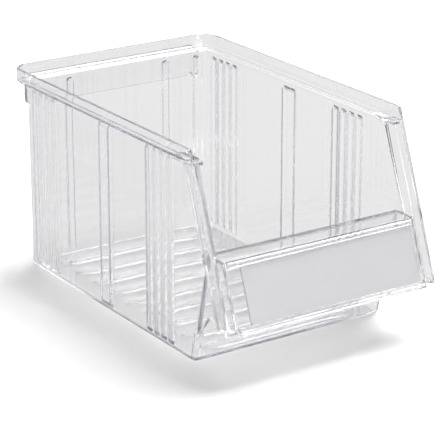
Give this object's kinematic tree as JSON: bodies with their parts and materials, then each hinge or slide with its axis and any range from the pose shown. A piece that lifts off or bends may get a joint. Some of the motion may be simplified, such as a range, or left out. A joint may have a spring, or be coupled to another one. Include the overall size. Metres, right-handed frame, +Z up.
{
  "type": "open-front storage bin",
  "caption": "Clear stack-and-hang storage bin with fluted walls, a sloped open front, a stepped stacking rim, a rear hanging lip and a sliding label card behind a clear cover.",
  "frame": {"origin": "middle of the bounding box, on the plane that the foot stands on", "axes": "+X to the right as seen from the open front, +Y from the front to the back, +Z up; the label faces -Y"},
  "size_m": [0.15, 0.2506, 0.1325],
  "materials": {
    "clear_moulding": "clear, polished moulding",
    "card": "matt, bare",
    "clear_sheet": "clear, smooth sheet"
  },
  "bodies": {
    "bin": {"bin_body": "clear_moulding"},
    "card": {"label_card": "card"},
    "cover": {"label_cover": "clear_sheet"}
  },
  "joints": [
    {"name": "card_slide", "type": "slide", "parent": "bin", "child": "card", "axis": [-1, 0, 0], "range_m": [0, 0.125]},
    {"name": "cover_slide", "type": "slide", "parent": "bin", "child": "cover", "axis": [-1, 0, 0], "range_m": [0, 0.125]}
  ]
}
